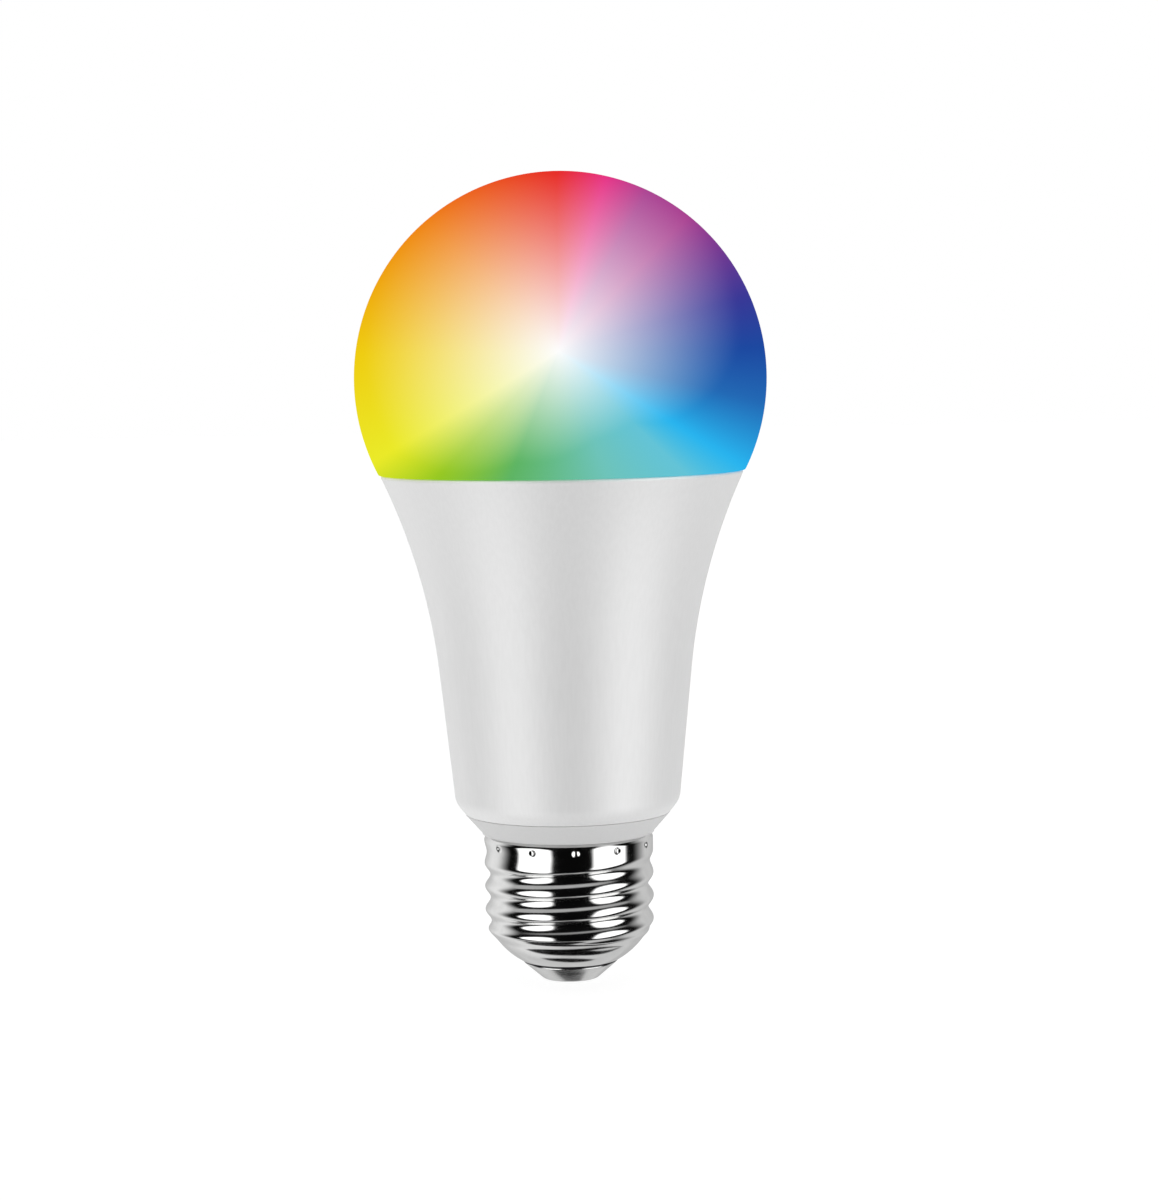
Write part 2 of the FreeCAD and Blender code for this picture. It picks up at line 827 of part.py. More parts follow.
def board_screws():
    """Pan-head screws that clamp the light board to the plate."""
    _, top = light_board_levels()
    screws = []
    for index in range(BOARD_SCREWS):
        x, y = polar(size.screw_ring, 90 + 360.0 / BOARD_SCREWS * index)
        shank = rod(
            f"screw_shank_{index}", size.screw_radius, (x, y, size.screw_foot), top - size.screw_foot
        )
        head = rod(f"screw_head_{index}", size.screw_head_radius, (x, y, top), size.screw_head_high)
        whole = fuse(f"screw_{index}", [shank, head])
        high = top + size.screw_head_high
        slots = []
        for letter, (across, along) in (("a", (0.28, 1.3)), ("b", (1.3, 0.28))):
            xs, ys = (x - across, x + across), (y - along, y + along)
            slots.append(block(f"screw_slot_{index}{letter}", xs, ys, (high - 0.9, high + 1)))
        screws.append(cut(f"screw_cut_{index}", whole, slots))
    return group("board_screws", screws)


def link_pin_places():
    """X of each board-to-board pin."""
    pitch = 2.54
    return [pitch * (index - (LINK_PINS - 1) / 2) for index in range(LINK_PINS)]


def link_parts():
    """Pin strip that carries power and signals from the driver board up to the light board."""
    _, top = light_board_levels()
    across = size.driver_face - size.driver_thick * 0.5
    half = 0.32
    pins, holes = [], []
    for index, x in enumerate(link_pin_places()):
        xs, ys = (x - half, x + half), (across - half, across + half)
        foot = size.driver_top + 0.1
        pins.append(block(f"link_pin_{index}", xs, ys, (foot, top + 2.0)))
        wide_x, wide_y = (x - 0.4, x + 0.4), (across - 0.4, across + 0.4)
        holes.append(block(f"socket_hole_{index}", wide_x, wide_y, (top - 1, top + 2.2)))
        holes.append(block(f"header_hole_{index}", wide_x, wide_y, (size.driver_top, 64.0)))
    ys = (across - 1.25, across + 1.25)
    socket = block("link_socket_block", (-7.9, 7.9), ys, (top, top + 2.6))
    strip = block("link_strip_block", (-7.9, 7.9), ys, (size.driver_top + 0.1, size.driver_top + 2.6))
    return [
        group("link_pins", pins),
        cut("link_socket", socket, holes[0::2]),
        cut("link_strip", strip, holes[1::2]),
    ]


def radio_parts():
    """Wireless board that stands up through the light board, its shield can and its aerial trace."""
    low, high = size.radio_foot, size.radio_top
    half = size.radio_half_width
    faces = (size.radio_face, size.radio_face + size.radio_thick)
    board = block("radio_board", (-half, half), faces, (low, high))
    face = size.radio_face
    can = block("shield_block", (-5.6, 5.6), (face - 1.9, face), (76.5, 85.5))
    inside = block("shield_inside", (-5.4, 5.4), (face - 1.7, face + 1), (76.7, 85.3))
    chip = block("radio_chip", (-3.0, 3.0), (face - 1.0, face - 0.01), (78.0, 84.0))
    trace = []
    step = 1.3
    left = -5.2
    for index in range(9):
        x = left + step * index
        trace.append(block(f"aerial_leg_{index}", (x, x + 0.45), (face - 0.05, face), (87.4, 90.6)))
        if index < 8:
            z = (90.15, 90.6) if index % 2 == 0 else (87.4, 87.85)
            trace.append(block(f"aerial_turn_{index}", (x + 0.45, x + step), (face - 0.05, face), z))
    return [
        board,
        cut("radio_shield", can, [inside]),
        chip,
        fuse("radio_antenna", trace),
    ]


# ---------------------------------------------------------------------------------------------
# Driver board and its components
# ---------------------------------------------------------------------------------------------
def driver_board():
    """Upright power board, wide in the tube and narrow in the neck."""
    wide, tail = size.driver_half_width, size.driver_tail_half
    return plate(
        "driver_board",
        "XZ_Plane",
        [
            (-tail, size.driver_foot),
            (tail, size.driver_foot),
            (tail, size.driver_shoulder - 3.4),
            (wide, size.driver_shoulder),
            (wide, size.driver_top),
            (-wide, size.driver_top),
            (-wide, size.driver_shoulder),
            (-tail, size.driver_shoulder - 3.4),
        ],
        size.driver_thick,
        -size.driver_face,
    )


def bent_wire(name, points, radius, bend):
    """A round wire through the points, with an arc of one radius at every turn."""
    edges = []
    start = points[0]
    for before, here, after in zip(points, points[1:], points[2:]):
        into = (here - before).normalize()
        away = (after - here).normalize()
        turn = into.getAngle(away)
        trim = bend * math.tan(turn / 2)
        first, last = here - into * trim, here + away * trim
        inward = (away - into).normalize()
        middle = here + inward * (bend / math.cos(turn / 2) - bend)
        edges.append(Part.LineSegment(start, first).toShape())
        edges.append(Part.Arc(first, middle, last).toShape())
        start = last
    edges.append(Part.LineSegment(start, points[-1]).toShape())
    spine = Part.Wire(edges)
    section = Part.Wire(Part.Circle(points[0], points[1] - points[0], radius).toShape())
    return feature(name, spine.makePipeShell([section], True, False))


def can_capacitor(name, centre_x, low, high, radius, sleeve_gap=0.3):
    """Electrolytic can lying along the board: sleeved body and two leads bent down to the board."""
    centre_y = size.driver_face + sleeve_gap + radius
    can = turned(
        name + "_can",
        [
            (0, low),
            (radius - 0.5, low),
            (radius, low + 0.5),
            (radius, low + 1.9),
            (radius - 0.45, low + 2.25),
            (radius - 0.45, low + 2.65),
            (radius, low + 3.0),
            (radius, high - 0.3),
            (radius - 0.3, high),
            (0, high),
        ],
    )
    move(can, centre_x, centre_y, 0)
    leads = []
    for index, side in enumerate((-1, 1)):
        x = centre_x + side * radius * 0.42
        y = centre_y.value
        foot = SIZES["driver_face"] + 0.02
        route = [Vector(x, y, low), Vector(x, y, low - 1.2), Vector(x, foot, low - 1.2)]
        leads.append(bent_wire(f"{name}_lead_{index}", route, 0.3, 0.8))
    return [can, group(name + "_leads", leads)]


def transformer():
    """Flyback transformer: ferrite frame, bobbin on a pin base, and copper winding."""
    middle = 3.4
    core_y = (middle - 3.0, middle + 3.0)
    frame = block("ferrite_block", (-6.5, 6.5), core_y, (27.6, 39.2))
    windows = []
    for side in (-1, 1):
        xs = tuple(sorted((1.6 * side, 4.7 * side)))
        windows.append(block(f"ferrite_window_{len(windows)}", xs, (-9, 15), (30.0, 36.8)))
    core = cut("transformer_core", frame, windows)

    def sleeve(name, half, depth, zs, hole_half, hole_depth):
        """A square ring round the middle leg."""
        outer = block(name + "_block", (-half, half), (middle - depth, middle + depth), zs)
        room = (zs[0] - 1, zs[1] + 1)
        depth = (middle - hole_depth, middle + hole_depth)
        inner = block(name + "_hole", (-hole_half, hole_half), depth, room)
        return cut(name, outer, [inner])

    tube = sleeve("bobbin_tube", 2.1, 3.5, (30.05, 36.75), 1.65, 3.05)
    lower = sleeve("bobbin_lower", 4.55, 4.9, (30.05, 30.45), 1.65, 3.05)
    upper = sleeve("bobbin_upper", 4.55, 4.9, (36.35, 36.75), 1.65, 3.05)
    base = block("bobbin_base", (-6.2, 6.2), (size.driver_face + 0.02, middle - 4.85), (28.0, 38.8))
    bobbin = fuse("transformer_bobbin", [tube, lower, upper, base])
    winding = sleeve("transformer_winding", 4.4, 4.7, (30.5, 36.3), 2.15, 3.55)
    return [core, bobbin, winding]


def filter_choke():
    """Drum-core choke standing on the board, with its winding."""
    foot = size.driver_face + 0.02
    x, z = 7.6, 42.9
    core = fuse(
        "choke_core",
        [
            rod("choke_foot", 3.6, (x, foot, z), 1.2, "Y"),
            rod("choke_leg", 1.7, (x, foot, z), 7.6, "Y"),
            rod("choke_head", 3.6, (x, foot + 6.4, z), 1.2, "Y"),
        ],
    )
    coil = rod("choke_coil", 3.2, (x, foot + 1.25, z), 5.1, "Y")
    leg_room = rod("choke_leg_room", 1.75, (x, foot, z), 8.0, "Y")
    return [core, cut("choke_winding", coil, [leg_room])]


def neck_parts():
    """Mains-side components in the neck: box capacitor, surge disc and fusible resistor."""
    foot = size.driver_face + 0.02
    body = block("film_capacitor_block", (-7.4, 0.2), (foot, foot + 5.2), (12.0, 21.5))
    disc_body = rod("varistor", 3.4, (1.9, foot + 3.6, 16.5), 2.9, "X")
    resistor = turned(
        "fuse_resistor",
        [
            (0, 11.6),
            (1.0, 11.6),
            (1.3, 12.1),
            (1.3, 13.2),
            (1.1, 13.6),
            (1.1, 17.6),
            (1.3, 18.0),
            (1.3, 19.1),
            (1.0, 19.6),
            (0, 19.6),
        ],
    )
    move(resistor, 6.9, foot + 1.35, 0)
    softened = doc.addObject("Part::Fillet", "film_capacitor")
    softened.Base = body
    doc.recompute()
    softened.Edges = [(index + 1, 0.5, 0.5) for index in range(len(body.Shape.Edges))]
    return [softened, disc_body, resistor]


def chip_with_legs(name, centre, across, tall, thick, legs, pitch):
    """Moulded chip on the board's rear face, with a row of legs on each side."""
    x, z = centre
    face = size.driver_face - size.driver_thick
    width, height = (x - across / 2, x + across / 2), (z - tall / 2, z + tall / 2)
    body = block(name + "_body", width, (face - thick, face - 0.1), height)
    solids = [body]
    for side in (-1, 1):
        for index in range(legs):
            level = z + pitch * (index - (legs - 1) / 2)
            xs = tuple(sorted((x + side * across / 2, x + side * (across / 2 + 0.9))))
            leg = block(f"{name}_leg_{side + 1}{index}", xs, (face - 0.35, face), (level - 0.2, level + 0.2))
            solids.append(leg)
    return fuse(name, solids)


def rear_parts():
    """Surface-mounted parts on the driver board's rear face."""
    face = size.driver_face - size.driver_thick
    bridge = chip_with_legs("bridge_rectifier", (0, 20.5), 3.9, 4.7, 2.4, 2, 2.54)
    chips = [
        chip_with_legs("power_chip", (-4.5, 36.0), 3.9, 4.9, 1.5, 4, 1.27),
        chip_with_legs("dimming_chip", (5.0, 50.0), 3.9, 4.9, 1.5, 4, 1.27),
        chip_with_legs("regulator_chip", (-6.0, 51.0), 3.0, 3.0, 1.1, 3, 0.95),
    ]
    resistors, capacitors = [], []
    for index in range(10):
        x = -9.6 + 2.1 * index
        low = 43.0 if index % 2 else 45.0
        room = (face - 0.45, face)
        resistors.append(block(f"resistor_{index}", (x - 0.4, x + 0.4), room, (low - 0.8, low + 0.8)))
    for index in range(6):
        x = -7.5 + 3.0 * index
        room = (face - 0.9, face)
        capacitors.append(block(f"capacitor_{index}", (x - 0.625, x + 0.625), room, (56.0, 58.0)))
    joints = []
    for row in (11.0, 24.8, 28.9, 40.4, 55.0):
        for column in (-5.2, 2.9, 5.2):
            joint = doc.addObject("Part::Cone", f"joint_{len(joints)}")
            joint.Radius1 = 0.8
            joint.Radius2 = 0.25
            joint.Height = 0.8
            move(joint, column, face, row, Rotation(Vector(1, 0, 0), 90))
            joints.append(joint)
    return [
        bridge,
        group("driver_chips", chips),
        group("chip_resistors", resistors),
        group("chip_capacitors", capacitors),
        group("solder_joints", joints),
    ]


def lead_wires():
    """Insulated wires from the cap: live from the rivet, neutral from the shell's inner skin."""
    radius = SIZES["wire_radius"]
    live = [
        Vector(0, 0, 6.65),
        Vector(0, 0, 9.2),
        Vector(3.6, 1.4, 10.6),
        Vector(6.9, SIZES["driver_face"] + 1.37, 10.9),
    ]
    neutral = [
        Vector(-9.3, 0.6, 21.4),
        Vector(-9.3, 0.6, 11.2),
        Vector(-6.0, SIZES["driver_face"] + 1.0, 10.2),
    ]
    return [
        bent_wire("live_wire", live, radius, 1.6),
        bent_wire("neutral_wire", neutral, radius, 1.6),
    ]


# ---------------------------------------------------------------------------------------------
# Assembly
# ---------------------------------------------------------------------------------------------
def build_parts():
    """Every sub-part of the bulb, from the globe down to the contact."""
    parts = [diffuser(), diffuser_sealant(), housing(), driver_case(), screw_shell()]
    parts += [base_insulator(), centre_contact(), contact_pin()]
    parts += [heat_sink_cup(), led_carrier_plate(), thermal_pad(), led_board()]
    parts += white_lights("warm_white", 0.0)
    parts += white_lights("cool_white", 18.0)
    parts += colour_lights()
    parts.append(board_screws())
    parts += link_parts()
    parts += radio_parts()
    parts.append(driver_board())
    parts += can_capacitor("bulk_capacitor", -5.4, 41.5, 58.0, 5.0)
    parts += can_capacitor("output_capacitor", 7.0, 48.6, 59.0, 4.0)
    parts += transformer()
    parts += filter_choke()
    parts += neck_parts()
    parts += rear_parts()
    parts += lead_wires()
    return parts


def check(parts):
    """Stops before writing anything if an object failed or a sub-part isn't a sound solid."""
    for item in doc.Objects:
        if "Invalid" in item.State or "Error" in item.State:
            raise RuntimeError(f"{item.Name} failed: {item.State}")
    for part in parts:
        if part.Shape.isNull() or not part.Shape.isValid() or not part.Shape.Solids:
            raise RuntimeError(part.Name + " is not a sound solid")
        if min(solid.Volume for solid in part.Shape.Solids) <= 0:
            raise RuntimeError(part.Name + " is inside out")


def export(parts):
    os.makedirs("parts", exist_ok=True)
    for part in parts:
        part.Label = part.Name
        part.Shape.exportStep(f"parts/{part.Name}.step")
        print(f"{part.Name:24s} {len(part.Shape.Solids):3d} solids {part.Shape.Volume:10.1f} mm3")


fill_sheet()
all_parts = build_parts()
doc.recompute()
check(all_parts)
export(all_parts)
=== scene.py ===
import json
import math

import bpy
from mathutils import Euler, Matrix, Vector


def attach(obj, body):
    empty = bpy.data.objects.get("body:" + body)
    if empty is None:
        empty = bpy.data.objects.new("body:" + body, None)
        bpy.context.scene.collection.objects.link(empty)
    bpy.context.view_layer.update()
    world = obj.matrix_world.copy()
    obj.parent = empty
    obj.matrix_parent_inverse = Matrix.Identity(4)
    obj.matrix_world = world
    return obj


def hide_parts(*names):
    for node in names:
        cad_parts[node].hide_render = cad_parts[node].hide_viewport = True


# Smart LED bulb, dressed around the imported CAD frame. Metres in the frame, millimetres in the outlines.
# Z is the bulb's axis, with z = 0 at the underside of the centre contact. The front faces -Y.

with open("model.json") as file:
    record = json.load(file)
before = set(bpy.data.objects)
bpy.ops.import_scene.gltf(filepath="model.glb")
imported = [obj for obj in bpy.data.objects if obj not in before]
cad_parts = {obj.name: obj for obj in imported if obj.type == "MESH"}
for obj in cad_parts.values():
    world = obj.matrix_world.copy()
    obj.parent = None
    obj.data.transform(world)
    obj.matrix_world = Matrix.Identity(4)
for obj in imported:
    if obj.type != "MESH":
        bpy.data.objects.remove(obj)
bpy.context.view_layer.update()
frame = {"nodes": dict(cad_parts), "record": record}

MM = 0.001
SEGMENTS = 192

# ---------------------------------------------------------------------------------------------
# Camera and stage
# ---------------------------------------------------------------------------------------------
CAMERA_PLACE = (2.35, -470.6, 98.6)
CAMERA_TILT_DOWN = 4.8
CAMERA_ROLL = -1.0
CAMERA_LENS = 91.5
SENSOR_HEIGHT = 36.0
FLOOR_HALF = 3.0
FLOOR_GREY = 0.3
FLOOR_GLOW = 0.86


def add_camera():
    """Camera a little above the middle of the bulb, looking slightly down along +Y."""
    data = bpy.data.cameras.new("camera")
    data.sensor_fit = "VERTICAL"
    data.sensor_height = SENSOR_HEIGHT
    data.lens = CAMERA_LENS
    data.clip_start = 0.01
    camera = bpy.data.objects.new("camera", data)
    bpy.context.scene.collection.objects.link(camera)
    camera.location = Vector(CAMERA_PLACE) * MM
    aim = Euler((math.radians(90 - CAMERA_TILT_DOWN), 0, 0)).to_matrix()
    roll = Euler((0, 0, math.radians(CAMERA_ROLL))).to_matrix()
    camera.rotation_euler = (aim @ roll).to_euler()
    bpy.context.scene.camera = camera


class Nodes:
    """Short hand for building a node tree."""

    def __init__(self, tree):
        self.tree = tree
        tree.nodes.clear()

    def add(self, kind, **settings):
        node = self.tree.nodes.new(kind)
        for name, value in settings.items():
            setattr(node, name, value)
        return node

    def feed(self, socket, value):
        """Links an output to a socket, or sets a constant on it."""
        if isinstance(value, bpy.types.NodeSocket):
            self.tree.links.new(value, socket)
        else:
            socket.default_value = value

    def maths(self, operation, first, second=0.0, third=None):
        node = self.add("ShaderNodeMath", operation=operation)
        self.feed(node.inputs[0], first)
        self.feed(node.inputs[1], second)
        if third is not None:
            self.feed(node.inputs[2], third)
        return node.outputs[0]

    def smooth_step(self, value, low, high, to_low=0.0, to_high=1.0):
        node = self.add("ShaderNodeMapRange", interpolation_type="SMOOTHSTEP", clamp=True)
        self.feed(node.inputs["Value"], value)
        numbers = {"From Min": low, "From Max": high, "To Min": to_low, "To Max": to_high}
        for name, number in numbers.items():
            self.feed(node.inputs[name], number)
        return node.outputs[0]

    def mix_colour(self, share, first, second, blend="MIX"):
        node = self.add("ShaderNodeMix", data_type="RGBA", blend_type=blend)
        self.feed(node.inputs["Factor"], share)
        self.feed(node.inputs[6], first)
        self.feed(node.inputs[7], second)
        return node.outputs[2]

    def ramp(self, value, stops, interpolation="LINEAR"):
        """Colour ramp from (position, colour) stops."""
        node = self.add("ShaderNodeValToRGB")
        band = node.color_ramp
        band.interpolation = interpolation
        while len(band.elements) > 1:
            band.elements.remove(band.elements[-1])
        for index, (position, colour) in enumerate(stops):
            stop = band.elements[0] if index == 0 else band.elements.new(position)
            stop.position = position
            stop.color = (*colour, 1.0)
        self.feed(node.inputs["Fac"], value)
        return node.outputs["Color"]


# Studio around the bulb. Azimuths are from the front (+ to the right) and elevations from level, in
# degrees, and light levels are 1 for white. The front half is dark but for two softboxes. The back half,
# ceiling and floor are pale, and two dark blots on the floor are (middle y, half width x, half depth y)
# of the direction, bent backwards with x.
STUDIO_TURN = 4.5
DARK = 0.003
SOFTBOX = 1.7
BOX_MIDDLE = 54.0
BOX_LEVELS = (-15.0, -7.0)
BOX_HALF = (26.0, 51.0)
BOX_SHAPE = 2.6
WALL_FROM = 92.0
WALL_FULL = 125.0
WALL_LEFT = 0.95
WALL_RIGHT = 0.68
WALL_BEHIND = 0.68
BEHIND_FROM = 130
BEHIND_FULL = 170
CEILING_LEAN = (0.347, 0.938)
CEILING_EDGE = 0.62
FLOOR_LEAN = (0.394, -0.919)
FLOOR_EDGE = 0.81
CEILING_LIGHT = 0.5
FLOOR_LIGHT = 0.68
EDGE_SOFT = (-0.02, 0.03)
BLOTS = ((0.31, 0.26, 0.1), (-0.03, 0.55, 0.13))
BLOT_BEND = 1.6


def add_studio():
    """World light: two tall softboxes in front of a dark room, pale wall, ceiling and floor behind."""
    world = bpy.data.worlds.new("studio")
    bpy.context.scene.world = world
    world.use_nodes = True
    build = Nodes(world.node_tree)
    axes = build.add("ShaderNodeSeparateXYZ")
    turned = build.add("ShaderNodeVectorRotate", rotation_type="Z_AXIS")
    turned.inputs["Angle"].default_value = math.radians(-STUDIO_TURN)
    build.feed(turned.inputs["Vector"], build.add("ShaderNodeTexCoord").outputs["Generated"])
    build.feed(axes.inputs[0], turned.outputs[0])
    x, y, z = axes.outputs
    to_degrees = math.degrees(1)
    towards_front = build.maths("MULTIPLY", y, -1.0)
    azimuth = build.maths("MULTIPLY", build.maths("ARCTAN2", x, towards_front), to_degrees)
    elevation = build.maths("MULTIPLY", build.maths("ARCSINE", z), to_degrees)
    off_front = build.maths("ABSOLUTE", azimuth)

    def away(value, middle, half, power):
        """How far a value is from a middle, in half widths, raised to a power."""
        gap = build.maths("ABSOLUTE", build.maths("SUBTRACT", value, middle))
        return build.maths("POWER", build.maths("DIVIDE", gap, half), power)

    def cap_of_light(axis, edge, light):
        """Light inside a round patch of sky about a leaning axis in the plane of Y and Z."""
        share = build.maths("MULTIPLY_ADD", y, axis[0], build.maths("MULTIPLY", z, axis[1]))
        return build.smooth_step(share, edge + EDGE_SOFT[0], edge + EDGE_SOFT[1], 0.0, light)

    from_box = build.maths(
        "ADD",
        away(off_front, BOX_MIDDLE, BOX_HALF[0], BOX_SHAPE),
        away(elevation, build.smooth_step(x, -0.1, 0.1, *BOX_LEVELS), BOX_HALF[1], BOX_SHAPE),
    )
    box = build.smooth_step(from_box, 0.6, 1.25, SOFTBOX, DARK)
    wall = build.smooth_step(off_front, WALL_FROM, WALL_FULL)
    wall = build.maths("MULTIPLY", wall, build.smooth_step(x, -0.8, 0.8, WALL_LEFT, WALL_RIGHT))
    dimmer = build.smooth_step(off_front, BEHIND_FROM, BEHIND_FULL, 1.0, WALL_BEHIND)
    wall = build.maths("MULTIPLY", wall, dimmer)
    ceiling = cap_of_light(CEILING_LEAN, CEILING_EDGE, CEILING_LIGHT)
    floor = cap_of_light(FLOOR_LEAN, FLOOR_EDGE, FLOOR_LIGHT)
    pale = build.maths("MAXIMUM", wall, build.maths("MAXIMUM", ceiling, floor))
    below = build.smooth_step(z, -0.3, 0.0)
    bent = build.maths("SUBTRACT", y, build.maths("MULTIPLY", build.maths("MULTIPLY", x, x), BLOT_BEND))
    for middle, half_width, half_depth in BLOTS:
        from_blot = build.maths("ADD", away(x, 0.0, half_width, 2.0), away(bent, middle, half_depth, 2.0))
        clear = build.maths("MAXIMUM", build.smooth_step(from_blot, 0.7, 1.2), below)
        pale = build.maths("MULTIPLY", pale, clear)
    level = build.maths("MAXIMUM", box, pale)
    seen = build.add("ShaderNodeLightPath").outputs["Is Camera Ray"]
    strength = build.maths("ADD", level, build.maths("MULTIPLY", build.maths("SUBTRACT", 1.0, level), seen))
    background = build.add("ShaderNodeBackground")
    background.inputs["Color"].default_value = (1, 1, 1, 1)
    build.feed(background.inputs["Strength"], strength)
    output = build.add("ShaderNodeOutputWorld")
    build.feed(output.inputs["Surface"], background.outputs[0])


def add_floor():
    """Plain near-white floor under the contact, which keeps only a breath of shadow."""
    mesh = bpy.data.meshes.new("floor")
    half = FLOOR_HALF
    corners = [(-half, -half, 0), (half, -half, 0), (half, half, 0), (-half, half, 0)]
    mesh.from_pydata(corners, [], [(0, 1, 2, 3)])
    floor = bpy.data.objects.new("floor", mesh)
    bpy.context.scene.collection.objects.link(floor)
    floor.visible_glossy = False
    material = bpy.data.materials.new("floor")
    material.use_nodes = True
    build = Nodes(material.node_tree)
    shader = build.add("ShaderNodeBsdfPrincipled")
    shader.inputs["Base Color"].default_value = (FLOOR_GREY, FLOOR_GREY, FLOOR_GREY, 1)
    shader.inputs["Roughness"].default_value = 0.9
    shader.inputs["Emission Color"].default_value = (1, 1, 1, 1)
    shader.inputs["Emission Strength"].default_value = FLOOR_GLOW
    output = build.add("ShaderNodeOutputMaterial")
    build.feed(output.inputs["Surface"], shader.outputs[0])
    mesh.materials.append(material)


# ---------------------------------------------------------------------------------------------
# Mesh building
# ---------------------------------------------------------------------------------------------
def rounded(corners, steps=5):
    """Closed outline through (radius, height, fillet) corners, in millimetres, each rounded by its fillet.

    A corner without a fillet stays sharp, and so do the points made by flare() and arc().
    """
    points = []
    count = len(corners)
    for index, corner in enumerate(corners):
        here = Vector(corner[:2])
        fillet = corner[2] if len(corner) > 2 else 0.0
        before = Vector(corners[index - 1][:2]) - here
        after = Vector(corners[(index + 1) % count][:2]) - here
        if fillet <= 0 or before.length == 0 or after.length == 0:
            points.append(here)
            continue
        opening = before.angle(after)
        trim = min(fillet / math.tan(opening / 2), before.length * 0.49, after.length * 0.49)
        radius = trim * math.tan(opening / 2)
        start, end = here + before.normalized() * trim, here + after.normalized() * trim
        bisector = (before.normalized() + after.normalized()).normalized()
        middle = here + bisector * radius / math.sin(opening / 2)
        for step in range(steps + 1):
            share = step / steps
            spoke = (start - middle).lerp(end - middle, share)
            points.append(middle + spoke.normalized() * radius)
    return points


def arc(centre, radius, first, last, steps):
    """Corners along an arc about (radius, height), between two angles in degrees from +r towards +z."""
    angles = [math.radians(first + (last - first) * step / steps) for step in range(steps + 1)]
    return [(centre[0] + radius * math.cos(a), centre[1] + radius * math.sin(a)) for a in angles]


def new_piece(name, vertices, faces):
    mesh = bpy.data.meshes.new(name)
    mesh.from_pydata(vertices, [], faces)
    mesh.validate()
    mesh.update()
    for polygon in mesh.polygons:
        polygon.use_smooth = True
    mesh.set_sharp_from_angle(angle=math.radians(38))
    piece = bpy.data.objects.new(name, mesh)
    bpy.context.scene.collection.objects.link(piece)
    return piece


def turned_faces(outline, segments=SEGMENTS):
    """Vertices and outward faces turned about Z from a closed (radius, height) outline in millimetres."""
    following = outline[1:] + outline[:1]
    if sum(here[0] * after[1] - after[0] * here[1] for here, after in zip(outline, following)) > 0:
        outline = outline[::-1]
    on_axis = 1e-6
    vertices, rings = [], []
    for point in outline:
        radius, height = point[0], point[1]
        if radius < on_axis:
            rings.append([len(vertices)] * segments)
            vertices.append((0, 0, height * MM))
            continue
        rings.append([len(vertices) + step for step in range(segments)])
        for step in range(segments):
            angle = 2 * math.pi * step / segments
            vertices.append((radius * MM * math.cos(angle), radius * MM * math.sin(angle), height * MM))
    faces = []
    for index, ring in enumerate(rings):
        after = rings[(index + 1) % len(rings)]
        for step in range(segments):
            beside = (step + 1) % segments
            loop = [ring[step], after[step], after[beside], ring[beside]]
            corners = list(dict.fromkeys(loop))
            if len(corners) > 2:
                faces.append(corners)
    return vertices, faces


def lathe(name, outline, segments=SEGMENTS):
    vertices, faces = turned_faces(outline, segments)
    return new_piece(name, vertices, faces)


def add_block(vertices, faces, low, high):
    """Adds a closed box between two corners in millimetres."""
    start = len(vertices)
    for x in (low[0], high[0]):
        for y in (low[1], high[1]):
            for z in (low[2], high[2]):
                vertices.append((x * MM, y * MM, z * MM))
    for side in ((0, 1, 3, 2), (4, 6, 7, 5), (0, 4, 5, 1), (2, 3, 7, 6), (0, 2, 6, 4), (1, 5, 7, 3)):
        faces.append([start + corner for corner in side])


def finish_piece(piece, node, material):
    """Puts a material on a piece and lets it stand for a CAD node."""
    piece.data.materials.append(material)
    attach(piece, "root")
    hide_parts(node)


# ---------------------------------------------------------------------------------------------
# Shapes that show, in millimetres
# ---------------------------------------------------------------------------------------------
CAP_TOP = 23.0
GLOBE_CENTRE = 93.3
GLOBE_RADIUS = 31.7
GLOBE_WALL = 1.2
GLOBE_EDGE = 28.25
SEAM = 79.0
SPIGOT = (24.2, 25.4)
SPIGOT_FOOT = 75.5
BEAD = 0.18
BEAD_DROP = 2.3
BEAD_HALF = 0.4


def globe_angle(height, radius):
    """Angle in degrees of a height on a globe of that radius."""
    return math.degrees(math.asin((height - GLOBE_CENTRE) / radius))


def make_globe():
    """Milky globe, hollow, with a spigot and a snap bead that go down inside the housing."""
    inner = GLOBE_RADIUS - GLOBE_WALL
    floor = SEAM + GLOBE_WALL
    outline = arc((0, GLOBE_CENTRE), GLOBE_RADIUS, 90, globe_angle(SEAM + 0.15, GLOBE_RADIUS), 72)
    outline += [
        (GLOBE_EDGE, SEAM, 0.12),
        (SPIGOT[1], SEAM),
        (SPIGOT[1], SEAM - BEAD_DROP + BEAD_HALF),
        (SPIGOT[1] + BEAD, SEAM - BEAD_DROP, 0.15),
        (SPIGOT[1], SEAM - BEAD_DROP - BEAD_HALF),
        (SPIGOT[1], SPIGOT_FOOT, 0.2),
        (SPIGOT[0], SPIGOT_FOOT, 0.2),
        (SPIGOT[0], floor, 0.5),
    ]
    outline += arc((0, GLOBE_CENTRE), inner, globe_angle(floor, inner), 90, 48)
    return lathe("globe", rounded(outline))


FLARE_CENTRE = (113.55, 38.59)
FLARE_RADIUS = 94.5
WAIST = (19.49, 47.65)
CORNER = (17.44, 28.0)
PARTING = (16.0, 26.2)
HOUSING_WALL = 1.2
SEAT = (SPIGOT[1] + 0.25, 75.3)
CASE_BORE = 15.55

def flare(low, high, inset=0.0, steps=40):
    """Corners up or down the housing's concave flare, inset from its outer skin."""
    reach = FLARE_RADIUS + inset
    heights = [low + (high - low) * step / steps for step in range(steps + 1)]
    return [(FLARE_CENTRE[0] - math.sqrt(reach**2 - (z - FLARE_CENTRE[1]) ** 2), z) for z in heights]


